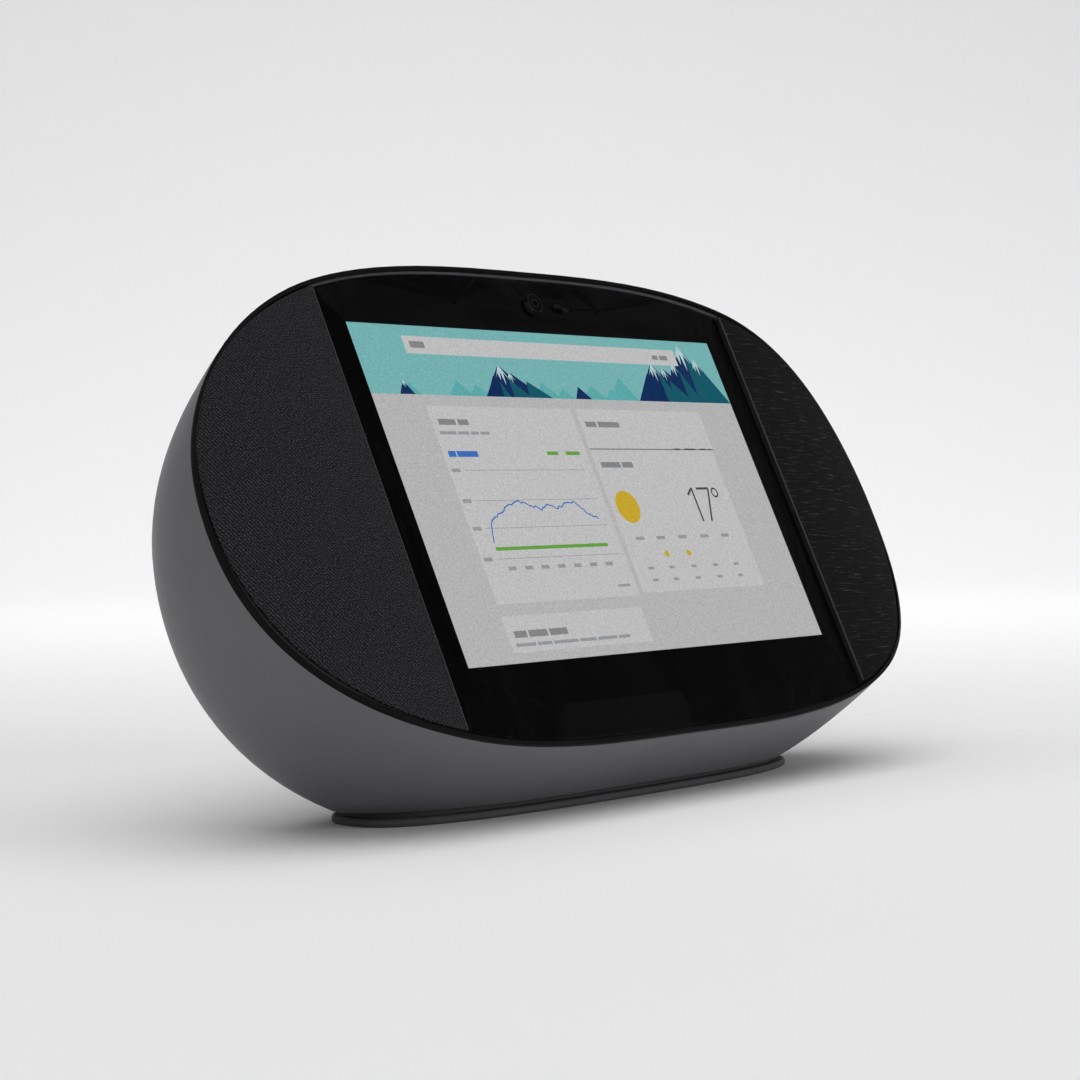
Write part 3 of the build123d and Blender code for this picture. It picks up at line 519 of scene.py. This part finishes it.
SMALL = (
    words(-63.3, 18.1, 1.0, [7.0, 5.0, 3.4, 4.2], 0.7)
    + words(-63.4, -48.9, 1.0, [8.6, 6.2, 11.0, 7.4, 9.0, 5.2], 0.8)
    + [bar(x, x + 3.4, -25.5, -24.3) for x in (-55, -47.6, -40.4, -33, -25.6, -18.2, -10.8)]
    + [bar(-64, -60.4, v - 0.6, v + 0.6) for v in RULES]
    + [bar(x, x + 4.2, -17.6, -16.5) for x in DAYS]
    + [bar(x + 0.8, x + 3.4, v, v + 0.9) for x in DAYS for v in (-27.6, -31.6)]
    + words(-8.6, -32.6, 0.8, [5.6])
)
page_layer("screen_small_lines", "#9d9fa1", SMALL, 7)
page_layer("screen_rules", "#9a9b9c", [bar(-58.5, -3.2, v - 0.09, v + 0.09) for v in RULES], 7)
DASHES = [bar(x, x + w, 13.4, 13.95) for x, w in ((45, 3), (50.4, 6), (58.8, 3), (63.4, 1.2))]
page_layer("screen_dark_rule", "#4c4e50", [bar(2.3, 66, 13.5, 13.75)] + DASHES, 7)
GAINS = words(-18.9, 11.5, 1.2, [5.2, 6.6], 3.6)
page_layer("screen_green", "#6aa83f", [bar(-57.4, -6.4, -19.2, -18.1)] + GAINS, 8)

TREND = [(-57.2, -16.4), (-55.6, -10.8), (-51, -7.6), (-47.1, -6.0), (-43, -4.2), (-39.2, -3.9),
         (-35, -5.2), (-30.9, -6.6), (-27, -5.0), (-23.4, -6.2), (-19, -4.3), (-14.1, -4.6),
         (-10, -8.4), (-6.1, -10)]


def trend_line():
    """The graph's jagged line, wandering about its trend."""
    rng = random.Random(4)
    steps, stray = 5, 0.55
    points = []
    for (x0, v0), (x1, v1) in zip(TREND, TREND[1:]):
        for i in range(steps):
            v = v0 + (v1 - v0) * i / steps + rng.uniform(-stray, stray)
            points.append((x0 + (x1 - x0) * i / steps, v))
    return points + [TREND[-1]]


LEVEL_READING = words(-62.9, 10.8, 1.9, [3.2, 9.0], 0.5)
page_layer("screen_blue", "#3d73c4", line(trend_line(), 0.42) + LEVEL_READING, 8)
SMALL_SUNS = [disc(x, -22.6, 1.1, 16) for x in (20.7, 31.9)]
page_layer("screen_sun", "#d3b02c", [disc(10.2, -6.3, 5.5)] + SMALL_SUNS, 8)
ONE = [(43.0, -2.6), (46.0, -0.2), (46.0, -12.0)]
SEVEN = [(48.4, -0.4), (54.8, -0.4), (50.4, -12.0)]
DEGREE = disc(57.6, -1.9, 1.5, 20)
NUMERALS = line(ONE, 0.8) + line(SEVEN, 0.8) + line(DEGREE, 0.62, closed=True)
page_layer("screen_numerals", "#4a4c4e", NUMERALS, 8)


# ---------------------------------------------------------------- the row of sensors above the page
GLASS_LEVEL = 1 + math.ceil(-LCD_FRONT / LEVEL)


def sensor_print(name, material, shapes):
    """Thin printed shapes on the glass, around and over the row of sensors; the black ones are painted shade over
    the hollows.
    """
    plates(name, shapes, GLASS_LEVEL, material)


def hoop(radius, thickness):
    return line(disc(0, SENSOR_V, radius, 48), thickness, closed=True)


def window_outline(half_length, radius, count=32):
    """A short slot with round ends."""
    turns = [2 * math.pi * (i + 0.5) / count for i in range(count)]
    return [(LIGHT_X + math.copysign(half_length, math.cos(t)) + radius * math.cos(t),
             SENSOR_V + radius * math.sin(t)) for t in turns]


# Satin ring around the lens: dark grey, so that the ring just reads against the film.
LENS_RIM = grained("satin_lens_rim", "#1c1c20", "#232327", (0.4, 0.3), 0.5, 0)
# Black print over the lens's well, the light window and the microphone holes: painted shade of the hollows behind
# the glass, darker and duller than the film round it, since the light goes into them.
HOLE_SHADE_PRINT = grained("painted_hollow_shade", "#010101", "#020203", (0.7, 0.6), 0.8, 0,
                      Specular_IOR_Level=0.05)
sensor_print("camera_rim", LENS_RIM, hoop(3.1, 0.14) + hoop(1.3, 0.2))
# Painted shade: black rings and holes over the lens's well, the light window and the microphones.
sensor_print("camera_well_shade", HOLE_SHADE_PRINT, hoop(2.2, 1.4))
sensor_print("light_window_shade", HOLE_SHADE_PRINT, [window_outline(1.9, 1.15)])
sensor_print("microphone_hole_shade", HOLE_SHADE_PRINT, [disc(x, SENSOR_V, 0.6, 20) for x in (-MIC_X, MIC_X)])


# ---------------------------------------------------------------- marks on the volume buttons
def top_of(name, normal):
    """The middle of a CAD node's outermost face in a direction."""
    corners = [v.co for v in frame["nodes"][name].data.vertices]
    reach = max(c.dot(normal) for c in corners)
    top = [c for c in corners if c.dot(normal) > reach - 0.02 * MM]
    low = Vector([min(c[i] for c in top) for i in range(3)])
    high = Vector([max(c[i] for c in top) for i in range(3)])
    return (low + high) / 2


def joint_axis(name):
    return Vector(next(j["axis"] for j in frame["joints"] if j["name"] == name)).normalized()


def button_mark(name, body, upright):
    """A raised plus or minus, moulded on a button's top."""
    normal = -joint_axis(f"{name}_press")
    middle = top_of(name, normal)
    across = (Vector((1, 0, 0)) - normal * normal.x).normalized()
    axes = Matrix((across, normal.cross(across), normal)).transposed().to_4x4()
    mesh = bmesh.new()
    long, short, height, rounding = 3.4, 0.7, 0.3, 0.1
    strokes = [(long, short), (short, long)] if upright else [(long, short)]
    for width, length in strokes:
        scale = Matrix.Diagonal((width * MM, length * MM, height * MM, 1))
        bmesh.ops.create_cube(mesh, size=1, matrix=Matrix.Translation(middle) @ axes @ scale)
    made = piece(f"{name}_mark", mesh, CONTROL_PC, body)
    edge = made.modifiers.new("edge", "BEVEL")
    edge.width = rounding * MM
    edge.segments = 2


button_mark("volume_up", "volume_up_button", True)
button_mark("volume_down", "volume_down_button", False)


# ---------------------------------------------------------------- floor, light and camera
def studio_bowl():
    """A pale paper floor that curves up all round, so that no edge shows behind the object."""
    floor_radius, curve, rise, steps = 1.5, 1.9, math.radians(64), 12   # metres
    profile = [(0, 0), (floor_radius, 0)]
    for i in range(1, steps + 1):
        a = rise * i / steps
        profile.append((floor_radius + curve * math.sin(a), curve * (1 - math.cos(a))))
    mesh = bmesh.new()
    verts = [mesh.verts.new((r, 0, z)) for r, z in profile]
    edges = [mesh.edges.new(pair) for pair in zip(verts, verts[1:])]
    bmesh.ops.spin(mesh, geom=verts + edges, axis=(0, 0, 1), cent=(0, 0, 0), steps=96,
                   angle=2 * math.pi, use_merge=True)
    bmesh.ops.remove_doubles(mesh, verts=mesh.verts, dist=0.0005)
    bmesh.ops.recalc_face_normals(mesh, faces=mesh.faces)
    for face in mesh.faces:
        face.smooth = True
    data = bpy.data.meshes.new("studio_bowl")
    mesh.to_mesh(data)
    mesh.free()
    material, principled = blank("pale_paper_backdrop", Roughness=0.9)
    principled.inputs["Base Color"].default_value = linear("#f4f4f5")
    data.materials.append(material)
    bowl = bpy.data.objects.new("studio_bowl", data)
    bpy.context.scene.collection.objects.link(bowl)


def softbox(name, place, aim, size, watts):
    """A square soft light, aimed at a point."""
    data = bpy.data.lights.new(name, "AREA")
    data.shape = "SQUARE"
    data.size = size
    data.energy = watts
    light = bpy.data.objects.new(name, data)
    light.location = place
    light.rotation_euler = (Vector(aim) - Vector(place)).to_track_quat("-Z", "Y").to_euler()
    bpy.context.scene.collection.objects.link(light)


def studio():
    """A broad light overhead, weak ones from the left and the right, and one on the backdrop."""
    studio_bowl()
    middle = (CAD_BOX[0] + CAD_BOX[1]) / 2
    softbox("key_left", (-1.7, -0.7, 0.9), middle, 0.9, 3.5)
    softbox("overhead", (-0.1, -0.1, 2.2), (-0.1, -0.1, 0), 3.6, 60)
    softbox("fill_right", (0.9, -1.5, 0.3), middle, 0.7, 9)
    softbox("backdrop_wash", (0.6, 0.5, 1.6), (2.4, 2.1, 0.6), 0.8, 20)
    world = bpy.data.worlds.new("studio")
    world.use_nodes = True
    world.node_tree.nodes["Background"].inputs["Color"].default_value = linear("#ffffff")
    world.node_tree.nodes["Background"].inputs["Strength"].default_value = 0.07
    bpy.context.scene.world = world
    bpy.context.scene.view_settings.view_transform = "Standard"


def camera():
    """Nearly level, from the object's left, turned a little about its own axis."""
    place = Matrix.Translation((-0.58297, -0.49099, 0.09433))
    heading = Matrix.Rotation(math.radians(-49.39), 4, "Z")
    pitch = Matrix.Rotation(math.radians(88.75), 4, "X")
    roll = Matrix.Rotation(math.radians(-0.716), 4, "Z")
    data = bpy.data.cameras.new("camera")
    data.sensor_width = 36
    data.lens = 81.7
    made = bpy.data.objects.new("camera", data)
    made.matrix_world = place @ heading @ pitch @ roll
    bpy.context.scene.collection.objects.link(made)
    bpy.context.scene.camera = made


studio()
camera()
